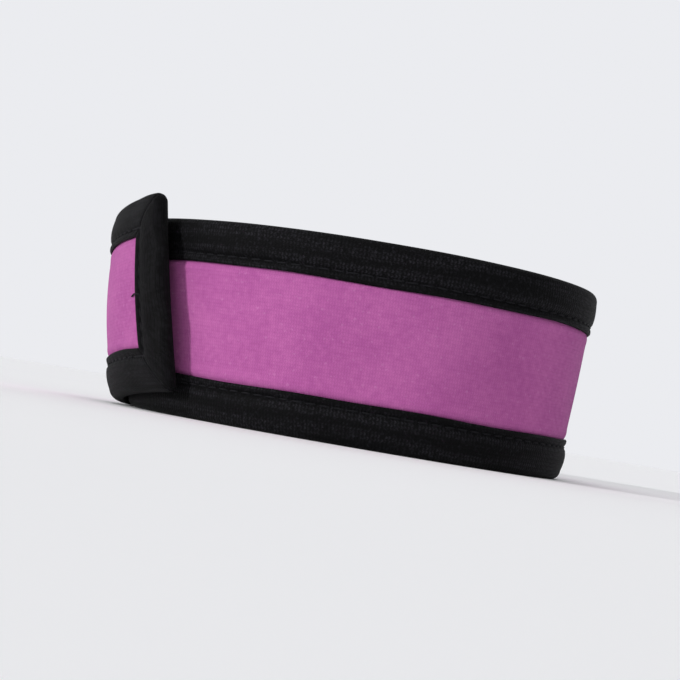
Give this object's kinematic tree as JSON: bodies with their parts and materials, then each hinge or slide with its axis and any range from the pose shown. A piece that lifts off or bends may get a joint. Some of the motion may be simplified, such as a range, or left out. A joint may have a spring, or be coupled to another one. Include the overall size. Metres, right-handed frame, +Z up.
{
  "type": "bicep band",
  "caption": "Padded strip that wraps the upper arm and closes on itself, with folded tape over its edges.",
  "frame": {"origin": "on the surface that the band stands on, below the middle of its box", "axes": "+Z up along the arm, from the thinner end of the hollow to the wider; +X along the oval's long axis; the outer end is on the -Y side"},
  "size_m": [0.128, 0.1126, 0.0514],
  "materials": {
    "neoprene": "matte",
    "binding_tape": "matte",
    "hook_fastener": "matte"
  },
  "bodies": {
    "root": {"neoprene_band": "neoprene", "top_binding": "binding_tape", "bottom_binding": "binding_tape", "outer_end_binding": "binding_tape", "inner_end_binding": "binding_tape", "hook_patch": "hook_fastener"}
  },
  "joints": []
}
